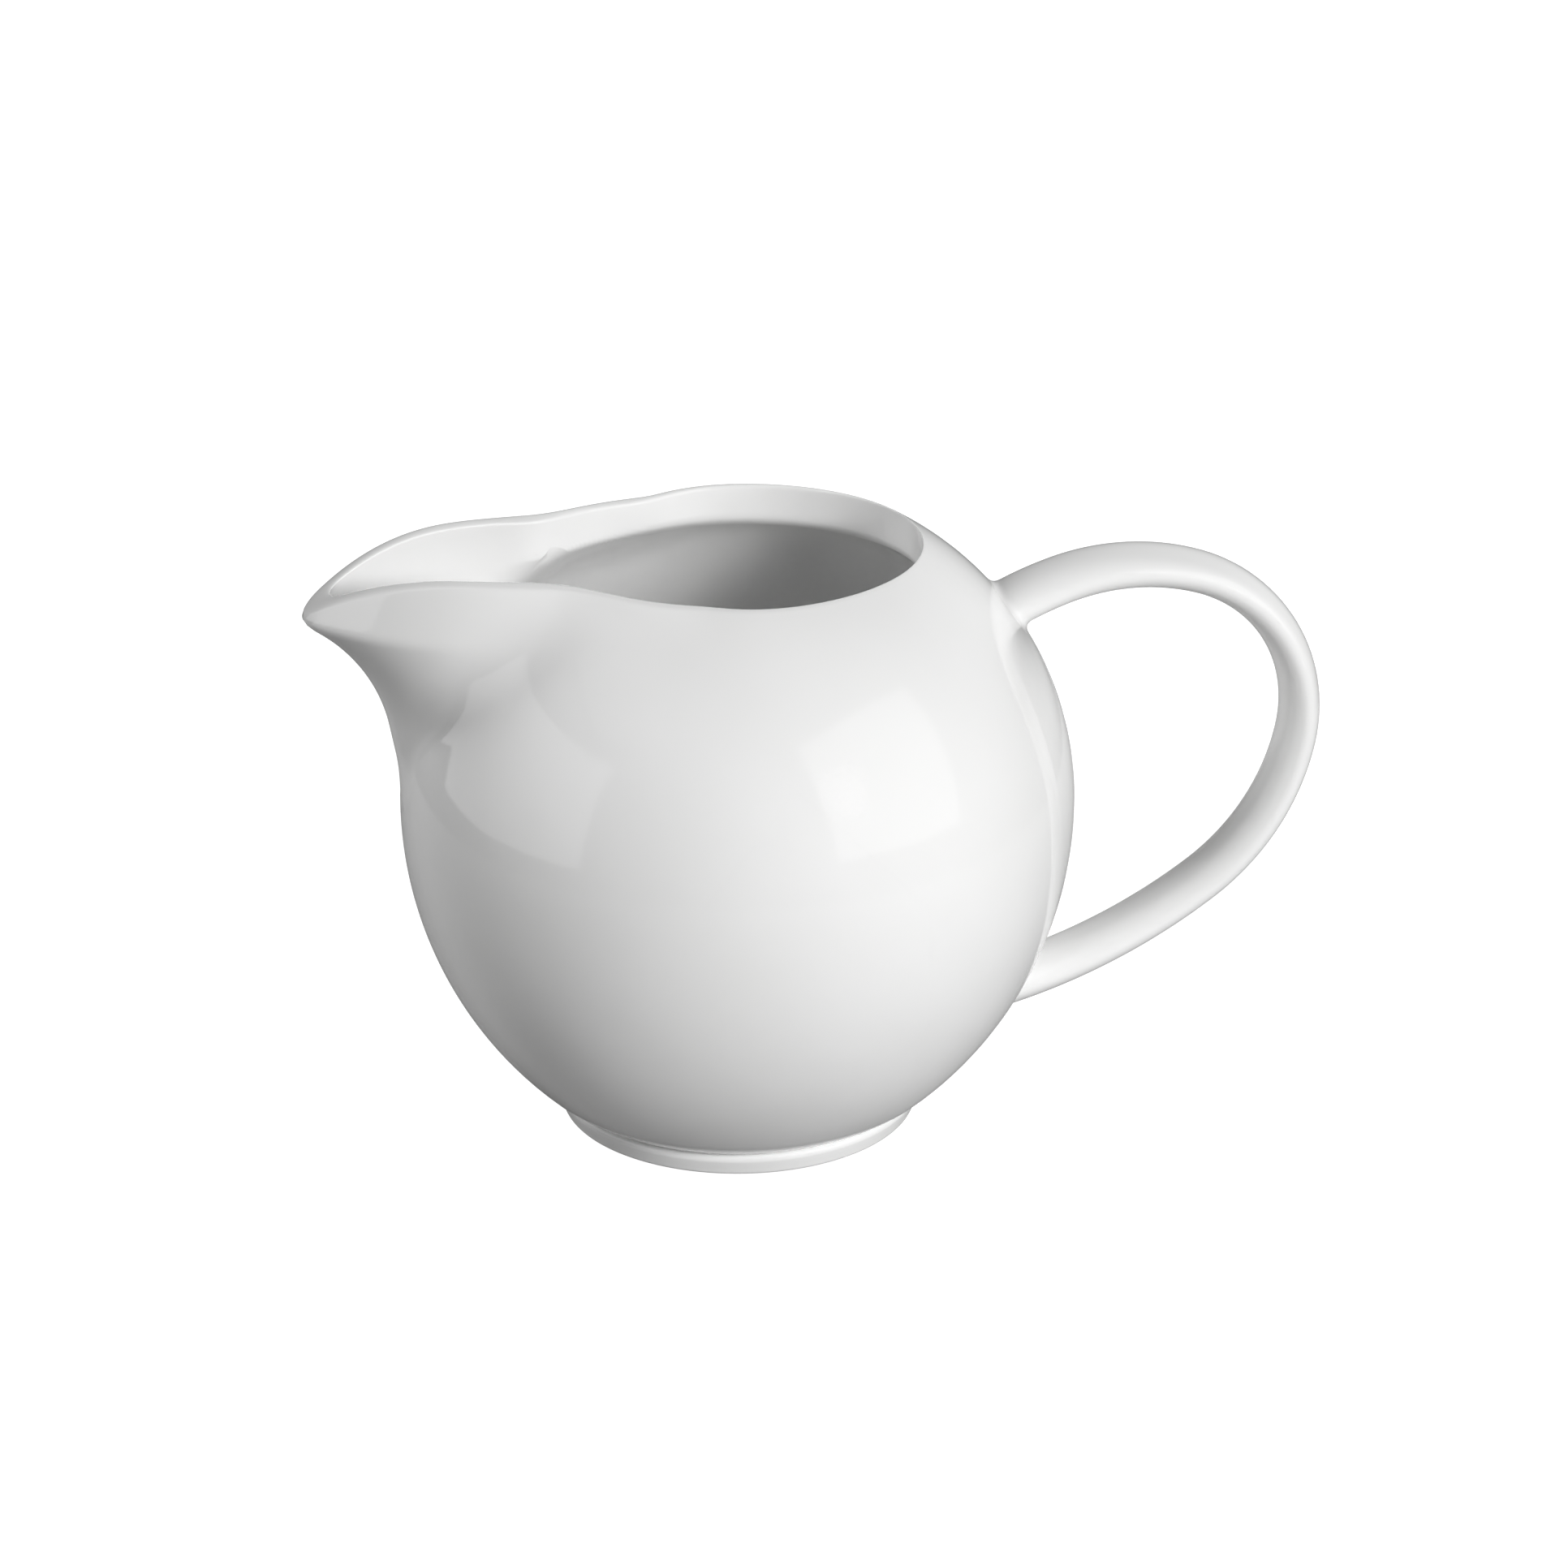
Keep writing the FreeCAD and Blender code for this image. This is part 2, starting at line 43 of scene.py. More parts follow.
# Bowl: two arcs that meet at the belly, outside and inside
BELLY_RADIUS = 45.0
BELLY_HEIGHT = 44.5
UPPER_ARC = 41.8
LOWER_ARC = 52.9
WALL = 4.0
UPPER_ARC_INSIDE = 36.1
LOWER_ARC_INSIDE = 47.3
FLOOR_HEIGHT = 6.6
FLOOR_ROUND = 6.0
MOUTH_RADIUS = 24.4
NECK_SOFTNESS = 0.6
MOUTH_HEIGHT = 80.12
MOUTH_RISE = 0.0192
RIM_ROUND = 0.9
RIM_LIMITS = (70.0, 84.0)
HALVINGS = 40

# Drawing the spout out of the wet wall pulled the mouth in on both sides of it
PINCH_DEPTH = 2.0
PINCH_ANGLE = math.radians(63)
PINCH_SPREAD = math.radians(19)
PINCH_HEIGHTS = (66.0, 80.0)

# Foot ring
FOOT_HEIGHT = 3.0
FOOT_INNER = 20.6
FOOT_OUTER = 24.1
FOOT_FLARE = 24.75
FOOT_ROUND = 0.6
FOOT_FILLET = 1.5
FOOT_SIDE_TOP = 2.0
FOOT_SIDE_LOW = 1.3
FOOT_SIDES = 144
UNDERSIDE_RADII = (15.0, 10.0, 5.0, 0.0)
UNDERSIDE_RISE = (0.12, 0.25, 0.33, 0.35)
CREASE_RADIUS = 24.1
CREASE_FLARE = 1.9
CREASE_SOFTNESS = 1.0

# Spout: level sections that are pointed arches, from the keel up to the lip
KEEL_REACH = 67.9
KEEL_ARC = 22.0
KEEL_START = 54.0
KEEL_TANGENT = 58.0
KEEL_FADE = 47.0
LIP_REACH = 57.05
LIP_LEAN = 0.45
LIP_LEAN_START = 74.0
LIP_SOFTNESS = 2.0
SHOULDER_REACH = 26.5
SHOULDER_WIDTH = 15.6
SHOULDER_HEIGHT = 71.5
SHOULDER_FALL_BELOW = 0.0125
SHOULDER_FALL_ABOVE = 0.015
NOSE_ROUND_LOW = 6.0
NOSE_ROUND_HIGH = 5.4
NOSE_ROUND_HEIGHTS = (56.0, 76.0)
FLARE = 16.0
SPOUT_BACK = 13.0
SPOUT_BACK_SOFTNESS = 8.0
SPOUT_WALL = 2.5
VALLEY_LOW = 1.6
VALLEY_MIDDLE = 5.0
VALLEY_TOP = 6.0
VALLEY_HEIGHTS = (56.0, 68.0)
VALLEY_TOP_HEIGHTS = (70.0, 79.0)
CHANNEL_SOFTNESS = 7.0
LIP_PEAK_REACH = 37.0
LIP_PEAK_HEIGHT = 81.5
LIP_NOSE_ARC = 33.5
LIP_MOUTH_ARC = 180.0
LIP_JOIN_SOFTNESS = 1.2

# Handle: centre line of arcs that run tangent into each other, and an oval section
HANDLE_START = (29.8, 65.1)
HANDLE_HEADING = math.radians(36.3)
HANDLE_ARCS = [(49.5, 18.0), (30.8, 36.0), (21.6, 82.5), (32.9, 43.4), (79.5, 27.0)]
HANDLE_THIN_AT = 0.55
HALF_THICK_ROOT = 3.1
HALF_THICK_BACK = 2.5
HALF_WIDTHS = (5.2, 5.0, 5.4)
BEAD_RADIUS = 1.4
SINK = 0.4


# ---------------------------------------------------------------- shapes by formula

def smooth_max(a, b, softness):
    near = np.maximum(softness - np.abs(a - b), 0.0)
    return np.maximum(a, b) + near ** 2 / (4 * softness)


def smooth_min(a, b, softness):
    return -smooth_max(-a, -b, softness)


def ease(value, limits):
    """0 below the first limit, 1 above the second, and an S-curve between them."""
    share = np.clip((value - limits[0]) / (limits[1] - limits[0]), 0.0, 1.0)
    return share * share * (3 - 2 * share)


def belly_radius(height, radius, upper, lower):
    arc = np.where(height > BELLY_HEIGHT, upper, lower)
    rise = height - BELLY_HEIGHT
    return radius - arc + np.sqrt(np.maximum(arc ** 2 - rise ** 2, 0.0))


def outer_radius(height):
    belly = belly_radius(height, BELLY_RADIUS, UPPER_ARC, LOWER_ARC)
    return smooth_min(belly, CREASE_RADIUS + CREASE_FLARE * (height - FOOT_HEIGHT), CREASE_SOFTNESS)


def inner_radius(height):
    cavity = belly_radius(height, BELLY_RADIUS - WALL, UPPER_ARC_INSIDE, LOWER_ARC_INSIDE)
    with_collar = smooth_max(cavity, np.full_like(cavity, MOUTH_RADIUS), NECK_SOFTNESS)
    return np.where(height > BELLY_HEIGHT, with_collar, cavity)


def belly_lean(height):
    """Level part of the belly's normal, which turns a level gap into a true one."""
    arc = np.where(height > BELLY_HEIGHT, UPPER_ARC, LOWER_ARC)
    return np.sqrt(np.maximum(arc ** 2 - (height - BELLY_HEIGHT) ** 2, 1.0)) / arc


def pinch(angle, height):
    spread = np.exp(-((np.abs(angle) - PINCH_ANGLE) / PINCH_SPREAD) ** 2)
    return PINCH_DEPTH * spread * ease(height, PINCH_HEIGHTS)


def nose_reach(height):
    rise = np.maximum(height, KEEL_TANGENT) - KEEL_START
    run = np.sqrt(np.maximum(KEEL_ARC ** 2 - rise ** 2, 1.0))
    tangent_rise = KEEL_TANGENT - KEEL_START
    slope = tangent_rise / math.sqrt(KEEL_ARC ** 2 - tangent_rise ** 2)
    keel = KEEL_REACH - run - slope * np.maximum(KEEL_TANGENT - height, 0.0)
    lip = LIP_REACH - LIP_LEAN * (height - LIP_LEAN_START)
    return smooth_min(keel, lip, LIP_SOFTNESS)


def beak_gap(reach, across, height, inset):
    """How far a point lies outside the spout's level section at its height."""
    offset = height - SHOULDER_HEIGHT
    fall = np.where(offset < 0, SHOULDER_FALL_BELOW, SHOULDER_FALL_ABOVE)
    half_width = SHOULDER_WIDTH - fall * offset ** 2 - inset
    share = ease(height, NOSE_ROUND_HEIGHTS)
    nose_round = NOSE_ROUND_LOW + (NOSE_ROUND_HIGH - NOSE_ROUND_LOW) * share - inset / 2
    nose_centre = nose_reach(height) - inset - nose_round
    run = nose_centre - SHOULDER_REACH
    side_arc = (run ** 2 + half_width ** 2 - nose_round ** 2) / (2 * (half_width - nose_round))
    beyond = reach - SHOULDER_REACH
    across = np.abs(across)
    below = np.maximum(KEEL_FADE - height, 0.0)
    drop = side_arc - half_width
    side_gap = np.hypot(beyond, across + drop) - side_arc
    nose_gap = np.hypot(reach - nose_centre, across) - nose_round
    on_side = run * (across + drop) > drop * beyond
    flare_gap = across - half_width - beyond ** 2 / (2 * (FLARE + inset))
    flare_gap = smooth_max(flare_gap, SPOUT_BACK - reach, SPOUT_BACK_SOFTNESS)
    return np.where(beyond < 0, flare_gap, np.where(on_side, side_gap, nose_gap)) + below


def outer_gap(reach, across, height):
    angle = np.arctan2(across, reach)
    radius = outer_radius(height) - pinch(angle, height)
    belly = (np.hypot(reach, across) - radius) * belly_lean(height)
    softness = VALLEY_LOW + (VALLEY_MIDDLE - VALLEY_LOW) * ease(height, VALLEY_HEIGHTS)
    softness = softness + (VALLEY_TOP - VALLEY_MIDDLE) * ease(height, VALLEY_TOP_HEIGHTS)
    return smooth_min(belly, beak_gap(reach, across, height, 0.0), softness)


def inner_gap(reach, across, height):
    angle = np.arctan2(across, reach)
    cavity = np.hypot(reach, across) - inner_radius(height) + pinch(angle, height)
    channel = beak_gap(reach, across, height, SPOUT_WALL)
    return smooth_min(cavity, channel, CHANNEL_SOFTNESS)


def radius_where(gap, angle, height):
    """Radius at which a ray from the axis, level and at this angle from the spout, leaves a section."""
    low = np.zeros_like(angle + height)
    high = np.full_like(low, 1.5 * BELLY_RADIUS)
    for _ in range(HALVINGS):
        middle = (low + high) / 2
        outside = gap(middle * np.cos(angle), middle * np.sin(angle), height) > 0
        high = np.where(outside, middle, high)
        low = np.where(outside, low, middle)
    return (low + high) / 2


def rim_line(reach):
    """Height of the rim over each point between the handle's side and the tip of the spout."""
    mouth = MOUTH_HEIGHT - MOUTH_RISE * reach
    past = reach - LIP_PEAK_REACH
    arc = np.where(past > 0, LIP_NOSE_ARC, LIP_MOUTH_ARC)
    lip = LIP_PEAK_HEIGHT - arc + np.sqrt(np.maximum(arc ** 2 - past ** 2, 0.0))
    return np.where(past > 0, lip, smooth_max(mouth, lip, LIP_JOIN_SOFTNESS))


def rim_height(gap, angle):
    """Height at which the wall's outer or inner surface meets the rim line."""
    low = np.full_like(angle, RIM_LIMITS[0])
    high = np.full_like(angle, RIM_LIMITS[1])
    for _ in range(HALVINGS):
        middle = (low + high) / 2
        reach = radius_where(gap, angle, middle) * np.cos(angle)
        above = middle > rim_line(reach)
        high = np.where(above, middle, high)
        low = np.where(above, low, middle)
    return (low + high) / 2


# ---------------------------------------------------------------- grids and meshes

WELD = 1e-4


def normals_of(points):
    """Unit normals of a grid whose rows are closed rings, from each point's neighbours."""
    along = np.gradient(points, axis=0)
    round_it = np.roll(points, -1, axis=1) - np.roll(points, 1, axis=1)
    normals = np.cross(along, round_it)
    length = np.linalg.norm(normals, axis=2, keepdims=True)
    return normals / np.maximum(length, 1e-12)


def facets(points, normals=None, rows=None, columns=None, flip=False, wrap=True):
    """The four corners and corner normals of each facet of a grid, or of a part of it."""
    count = points.shape[1]
    rows = np.arange(points.shape[0] - 1) if rows is None else np.asarray(rows)
    if columns is None:
        columns = np.arange(count if wrap else count - 1)
    row, column = np.meshgrid(rows, columns, indexing="ij")
    row, column = row.ravel(), column.ravel()
    following = (column + 1) % count
    corners = [(row, column), (row + 1, column), (row + 1, following), (row, following)]
    if flip:
        corners.reverse()
    quads = np.stack([points[a, b] for a, b in corners], axis=1)
    if normals is None:
        flat = np.cross(quads[:, 2] - quads[:, 0], quads[:, 3] - quads[:, 1])
        flat /= np.maximum(np.linalg.norm(flat, axis=1, keepdims=True), 1e-12)
        return quads, np.repeat(flat[:, None, :], 4, axis=1)
    turn = -1.0 if flip else 1.0
    return quads, turn * np.stack([normals[a, b] for a, b in corners], axis=1)


def make_piece(name, patches, material, stands_for):
    """A closed mesh from patches of facets, welded where their corners meet."""
    quads = np.concatenate([patch[0] for patch in patches])
    normals = np.concatenate([patch[1] for patch in patches])
    keys = np.round(quads.reshape(-1, 3) / WELD).astype(np.int64)
    _, first, index = np.unique(keys, axis=0, return_index=True, return_inverse=True)
    points = quads.reshape(-1, 3)[first] * MM
    index = index.reshape(-1, 4)
    faces, loop_normals = [], []
    for corners, bends in zip(index.tolist(), normals.tolist()):
        kept = [k for k in range(4) if corners[k] != corners[k - 1]]
        if len(kept) >= 3:
            faces.append([corners[k] for k in kept])
            loop_normals.extend(bends[k] for k in kept)
    mesh = bpy.data.meshes.new(name)
    mesh.from_pydata(points.tolist(), [], faces)
    mesh.shade_smooth()
    mesh.normals_split_custom_set(loop_normals)
    mesh.materials.append(material)
    uses = {}
    for face in faces:
        for a, b in zip(face, face[1:] + face[:1]):
            uses[(a, b)] = uses.get((a, b), 0) + 1
    open_edges = [edge for edge, count in uses.items() if count != 1 or edge[::-1] not in uses]
    if open_edges:
        raise RuntimeError("%s has %d edges that do not close" % (name, len(open_edges)))
    piece = bpy.data.objects.new(name, mesh)
    bpy.context.scene.collection.objects.link(piece)
    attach(piece, "root")
    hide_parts(stands_for)


def bezier(points, steps):
    """Points of a Bezier curve through its control points, ends left out."""
    order = len(points) - 1
    shares = np.arange(1, steps) / steps
    rows = []
    for share in shares:
        rows.append(sum(math.comb(order, k) * share ** k * (1 - share) ** (order - k) * point
                        for k, point in enumerate(points)))
    return rows


# ---------------------------------------------------------------- bowl and spout

SPOUT_COLUMNS = 52
BACK_COLUMNS = 58
SPOUT_ANGLE = math.radians(32)
SPLIT_HEIGHT = 50.5
SPLIT_RISE = 0.8
SPLIT_DROP = 20.0
SPLIT_BACK_ANGLE = math.radians(75)
WALL_FOOT_SHARE = 0.8
LOW_ROWS = 44
HIGH_ROWS = 30
RIM_STEPS = 12
CORNER_STEPS = 8
FLOOR_RINGS = 6


def column_angles():
    """Angles round the axis from the spout, closer together near its tip."""
    share = np.arange(SPOUT_COLUMNS + 1) / SPOUT_COLUMNS
    front = SPOUT_ANGLE * (0.3 * share + 0.7 * share ** 2)
    first_step = front[-1] - front[-2]
    share = np.arange(1, BACK_COLUMNS + 1) / BACK_COLUMNS
    run = math.pi - SPOUT_ANGLE
    start = first_step * BACK_COLUMNS / run
    back = SPOUT_ANGLE + run * (start * share + (1 - start) * share * (3 * share - share ** 2) / 2)
    half = np.concatenate([front, back])
    return np.concatenate([half, -half[-2:0:-1]])


def split_height(angle):
    """Height of the line where the spout's piece starts, and of the same row round the back."""
    turned = np.degrees(np.minimum(np.abs(angle), SPOUT_ANGLE))
    drop = SPLIT_DROP * ease(np.abs(angle), (SPOUT_ANGLE, SPLIT_BACK_ANGLE))
    return SPLIT_HEIGHT + SPLIT_RISE * turned - drop


def ring(angle, radius, height):
    return np.stack([-radius * np.cos(angle), radius * np.sin(angle),
                     height + np.zeros_like(angle)], axis=-1)


def wall_rows(gap, angle, heights):
    return [ring(angle, radius_where(gap, angle, height), height) for height in heights]


def make_shell():
    """Rows of points from the foot up the outside, over the rim and down the inside to the floor."""
    angle = column_angles()
    split = split_height(angle)
    tops, drops, peaks = [], [], []
    for gap in (outer_gap, inner_gap):
        top = rim_height(gap, angle)
        peak = radius_where(gap, angle, top)
        below = radius_where(gap, angle, top - RIM_ROUND)
        drop = RIM_ROUND * RIM_ROUND / np.hypot(RIM_ROUND, below - peak)
        tops.append(top)
        drops.append(drop)
        peaks.append(ring(angle, peak, top))
    outer_top, inner_top = tops[0] - drops[0], tops[1] - drops[1]
    low = np.linspace(0, 1, LOW_ROWS + 1)
    high = np.linspace(0, 1, HIGH_ROWS + 1)
    rows = wall_rows(outer_gap, angle, [FOOT_HEIGHT + (split - FOOT_HEIGHT) * t for t in low])
    rows += wall_rows(outer_gap, angle, [split + (outer_top - split) * t for t in high[1:]])
    inner_rows = wall_rows(inner_gap, angle, [inner_top + (split - inner_top) * t for t in high])
    rows += bezier([rows[-1], peaks[0], peaks[1], inner_rows[0]], RIM_STEPS)
    rows += inner_rows
    wall_foot = FLOOR_HEIGHT + FLOOR_ROUND * WALL_FOOT_SHARE
    rows += wall_rows(inner_gap, angle, [split + (wall_foot - split) * t for t in low[1:]])
    corner_radius = float(inner_radius(np.array([FLOOR_HEIGHT]))[0])
    corner = ring(angle, corner_radius, FLOOR_HEIGHT)
    floor_edge = corner_radius - FLOOR_ROUND
    rows += bezier([rows[-1], corner, ring(angle, floor_edge, FLOOR_HEIGHT)], CORNER_STEPS)
    for step in range(FLOOR_RINGS + 1):
        rows.append(ring(angle, floor_edge * (1 - step / FLOOR_RINGS), FLOOR_HEIGHT))
    return np.array(rows)


def underside(angle):
    """Rings under the bowl, from its lower edge in to the centre, slightly domed inside the foot."""
    edge = float(outer_radius(np.array([FOOT_HEIGHT]))[0])
    radii = (edge, FOOT_INNER - FOOT_FILLET) + UNDERSIDE_RADII
    rise = (0.0, 0.0) + UNDERSIDE_RISE
    return np.array([ring(angle, radius, FOOT_HEIGHT + up) for radius, up in zip(radii, rise)])


def make_bowl_and_spout(glaze):
    shell = make_shell()
    normals = normals_of(shell)
    normals[-1] = (0, 0, 1)
    row_count, column_count = shell.shape[:2]
    outer_split = LOW_ROWS
    inner_split = LOW_ROWS + HIGH_ROWS + RIM_STEPS + HIGH_ROWS
    inside = list(range(SPOUT_COLUMNS)) + list(range(column_count - SPOUT_COLUMNS, column_count))
    outside = [column for column in range(column_count) if column not in inside]
    spout_rows = range(outer_split, inner_split)
    other_rows = [row for row in range(row_count - 1) if row not in spout_rows]

    floor_wall = np.stack([shell[outer_split], shell[inner_split]])
    half = (inner_split - outer_split) // 2
    up = np.arange(half + 1)
    left = np.stack([shell[outer_split + up, SPOUT_COLUMNS], shell[inner_split - up, SPOUT_COLUMNS]])
    right = np.stack([shell[outer_split + up, -SPOUT_COLUMNS], shell[inner_split - up, -SPOUT_COLUMNS]])

    base = underside(column_angles())
    base_normals = normals_of(base)
    base_normals[-1] = (0, 0, 1)
    make_piece("pitcher_bowl", [
        facets(shell, normals, rows=other_rows),
        facets(shell, normals, rows=spout_rows, columns=outside),
        facets(floor_wall, columns=inside),
        facets(left, wrap=False),
        facets(right, wrap=False, flip=True),
        facets(base, base_normals, flip=True),
    ], glaze, "bowl")
    make_piece("pitcher_spout", [
        facets(shell, normals, rows=spout_rows, columns=inside),
        facets(floor_wall, columns=inside, flip=True),
        facets(left, wrap=False, flip=True),
        facets(right, wrap=False),
    ], glaze, "spout")


# ---------------------------------------------------------------- foot ring

SIDE_STEPS = 6


def make_foot(material):
    """The ring's section, down its outer side, under its standing face and up its inner side."""
    angle = np.linspace(0, 2 * math.pi, FOOT_SIDES + 1)[:-1]

    def at(radius, height):
        return ring(angle, radius, height)

    start = at(float(outer_radius(np.array([FOOT_HEIGHT]))[0]), FOOT_HEIGHT)
    side_top = at(FOOT_FLARE - 0.1, FOOT_SIDE_TOP)
    side_foot = at(FOOT_OUTER + 0.1, FOOT_ROUND)
    outer_edge = at(FOOT_OUTER - FOOT_ROUND, 0.0)
    inner_edge = at(FOOT_INNER + FOOT_ROUND, 0.0)
    inner_foot = at(FOOT_INNER, FOOT_ROUND)
    inner_top = at(FOOT_INNER, FOOT_HEIGHT - FOOT_FILLET)
    end = at(FOOT_INNER - FOOT_FILLET, FOOT_HEIGHT)
    rows = [start]
    rows += bezier([start, at(FOOT_FLARE, FOOT_HEIGHT - 0.1), side_top], SIDE_STEPS)
    rows += [side_top, at(FOOT_FLARE - 0.35, FOOT_SIDE_LOW), side_foot]
    rows += bezier([side_foot, at(FOOT_OUTER, 0.0), outer_edge], SIDE_STEPS)
    rows += [outer_edge, at((FOOT_OUTER + FOOT_INNER) / 2, 0.0), inner_edge]
    rows += bezier([inner_edge, at(FOOT_INNER, 0.0), inner_foot], SIDE_STEPS)
    rows += [inner_foot, inner_top]
    rows += bezier([inner_top, at(FOOT_INNER, FOOT_HEIGHT), end], CORNER_STEPS)
    rows += [end]
    section = np.array(rows)
    cap = np.stack([section[-1], section[0]])
    make_piece("pitcher_foot_ring", [
        facets(section, normals_of(section), flip=True),
        facets(cap, flip=True),
    ], material, "foot_ring")


# ---------------------------------------------------------------- handle and its joints

RING_POINTS = 48
HANDLE_RINGS = 110
BEAD_STEPS = 12
BEAD_SEARCH = 30.0
BEAD_PROBE = 0.1
PROJECTIONS = 6
SLOPE_STEP = 1e-3


def handle_length():
    return sum(radius * math.radians(turn) for radius, turn in HANDLE_ARCS)


def handle_frame(distance):
    """Centre line and heading of the handle at each distance along it."""
    reach = np.full_like(distance, HANDLE_START[0])
    height = np.full_like(distance, HANDLE_START[1])
    heading = np.full_like(distance, HANDLE_HEADING)
    left = distance.copy()
    for radius, turn in HANDLE_ARCS:
        swept = np.clip(left / radius, 0.0, math.radians(turn))
        chord = 2 * radius * np.sin(swept / 2)
        reach = reach + chord * np.cos(heading - swept / 2)
        height = height + chord * np.sin(heading - swept / 2)
        heading = heading - swept
        left = left - swept * radius
    return reach, height, heading


def handle_skin(distance, turn, inset=0.0):
    """Point of the handle's surface at a distance along it and a turn round its section."""
    reach, height, heading = handle_frame(distance)
    share = distance / handle_length()
    bow = np.clip(np.abs(share - HANDLE_THIN_AT) / HANDLE_THIN_AT, 0.0, 1.0) ** 2
    thick = HALF_THICK_BACK + (HALF_THICK_ROOT - HALF_THICK_BACK) * bow - inset
    ends = np.where(share < HANDLE_THIN_AT, HALF_WIDTHS[0], HALF_WIDTHS[2])
    wide = HALF_WIDTHS[1] + (ends - HALF_WIDTHS[1]) * bow - inset
    out = thick * np.cos(turn)
    return np.stack([reach - out * np.sin(heading), wide * np.sin(turn),
                     height + out * np.cos(heading)], axis=-1)


def belly_gap(point):
    """Distance of a point outside the bowl, without its spout."""
    height = point[..., 2]
    return (np.hypot(point[..., 0], point[..., 1]) - outer_radius(height)) * belly_lean(height)


def belly_normal(point):
    steps = SLOPE_STEP * np.eye(3)
    slope = [belly_gap(point + step) - belly_gap(point - step) for step in steps]
    return unit(np.stack(slope, axis=-1))


def unit(vector):
    return vector / np.linalg.norm(vector, axis=-1, keepdims=True)


def onto_belly(point):
    for _ in range(PROJECTIONS):
        point = point - belly_gap(point)[..., None] * belly_normal(point)
    return point


def handle_normal(distance, turn):
    along = handle_skin(distance + SLOPE_STEP, turn) - handle_skin(distance - SLOPE_STEP, turn)
    round_it = handle_skin(distance, turn + SLOPE_STEP) - handle_skin(distance, turn - SLOPE_STEP)
    return unit(np.cross(along, round_it))


def outward(skin, normals):
    """The same normals, each turned away from the middle of its ring."""
    side = np.sum(normals * (skin - skin.mean(axis=1, keepdims=True)), axis=2, keepdims=True)
    return np.where(side < 0, -normals, normals)


def bead_grid(turn, root, heading):
    """The bead of slip round one end of the handle: its skin and normals, its hidden back, and
    where on the handle it starts. Heading is 1 or -1, the way from the end out along the handle."""
    buried = np.full_like(turn, root)
    clear = buried + heading * BEAD_SEARCH
    for _ in range(HALVINGS):
        middle = (buried + clear) / 2
        free = belly_gap(handle_skin(middle, turn)) > 0
        clear = np.where(free, middle, clear)
        buried = np.where(free, buried, middle)
    meet = (buried + clear) / 2
    corner = handle_skin(meet, turn)
    away = unit(handle_skin(meet + heading * BEAD_PROBE, turn) - corner)
    skin_normal = handle_normal(meet, turn)
    belly = belly_normal(corner)
    spread = unit(skin_normal - np.sum(skin_normal * belly, axis=-1, keepdims=True) * belly)
    angle = np.arccos(np.clip(np.sum(away * spread, axis=-1), -1, 1))
    reach = BEAD_RADIUS / np.tan(angle / 2)
    end = meet + heading * reach
    first = handle_skin(end, turn)
    last = onto_belly(corner + reach[:, None] * spread)
    skin = np.array([first] + bezier([first, corner, last], BEAD_STEPS) + [last])
    normals = normals_of(skin)
    normals[0] = handle_normal(end, turn)
    normals[-1] = belly_normal(last)
    core = handle_skin(meet - heading * SINK, turn, SINK)
    hidden = np.array([last, last - SINK * belly_normal(last), core,
                       handle_skin(end, turn, SINK), first])
    return skin, outward(skin, normals), hidden, end, core


def make_bead(name, stands_for, turn, root, heading, glaze):
    skin, normals, hidden, end, core = bead_grid(turn, root, heading)
    flip = heading > 0
    make_piece(name, [
        facets(skin, -heading * normals, flip=flip),
        facets(hidden, flip=flip),
    ], glaze, stands_for)
    return end, core


def make_handle(glaze):
    """The two beads, then the strap between them, whose plugged ends fit inside the beads."""
    turn = np.linspace(0, 2 * math.pi, RING_POINTS + 1)[:-1]
    start, start_core = make_bead("pitcher_upper_handle_joint", "upper_handle_joint",
                                  turn, 0.0, 1.0, glaze)
    stop, stop_core = make_bead("pitcher_lower_handle_joint", "lower_handle_joint",
                                turn, handle_length(), -1.0, glaze)
    places = [start + (stop - start) * share for share in np.linspace(0, 1, HANDLE_RINGS + 1)]
    rings = np.array([handle_skin(place, turn) for place in places])
    ring_normals = np.array([handle_normal(place, turn) for place in places])
    first_plug = np.array([np.repeat(start_core.mean(axis=0)[None], RING_POINTS, axis=0), start_core,
                           handle_skin(start, turn, SINK), rings[0]])
    last_plug = np.array([rings[-1], handle_skin(stop, turn, SINK), stop_core,
                          np.repeat(stop_core.mean(axis=0)[None], RING_POINTS, axis=0)])
    make_piece("pitcher_handle", [
        facets(rings, ring_normals),
        facets(first_plug),
        facets(last_plug),
    ], glaze, "handle")


# ---------------------------------------------------------------- materials

# Colours are linear, and sizes in the shaders are in metres
GLAZE_DULL = (0.845, 0.845, 0.84, 1)
GLAZE_PALE = (0.87, 0.87, 0.868, 1)
GLAZE_ROUGHNESS = (0.06, 0.1)
CLOUD_SCALE = 28.0
CLOUD_SPAN = (0.35, 0.65)
SPECK_COLOUR = (0.42, 0.4, 0.37, 1)
SPECK_SCALE = 90.0
SPECK_SIZE = 0.022
SPECK_RARITY = 0.8
RIPPLE_SCALE = 60.0
RIPPLE_STRENGTH = 0.15
RIPPLE_HEIGHT = 0.0006
BISCUIT_DARK = (0.66, 0.63, 0.58, 1)
BISCUIT_PALE = (0.82, 0.8, 0.76, 1)
BISCUIT_ROUGHNESS = 0.75
BISCUIT_GRAIN = 2500.0
BARE_BELOW = 0.0001
GLAZED_ABOVE = 0.00022


def node(tree, kind, **settings):
    made = tree.nodes.new(kind)
    for name, value in settings.items():
        setattr(made, name, value)
    return made


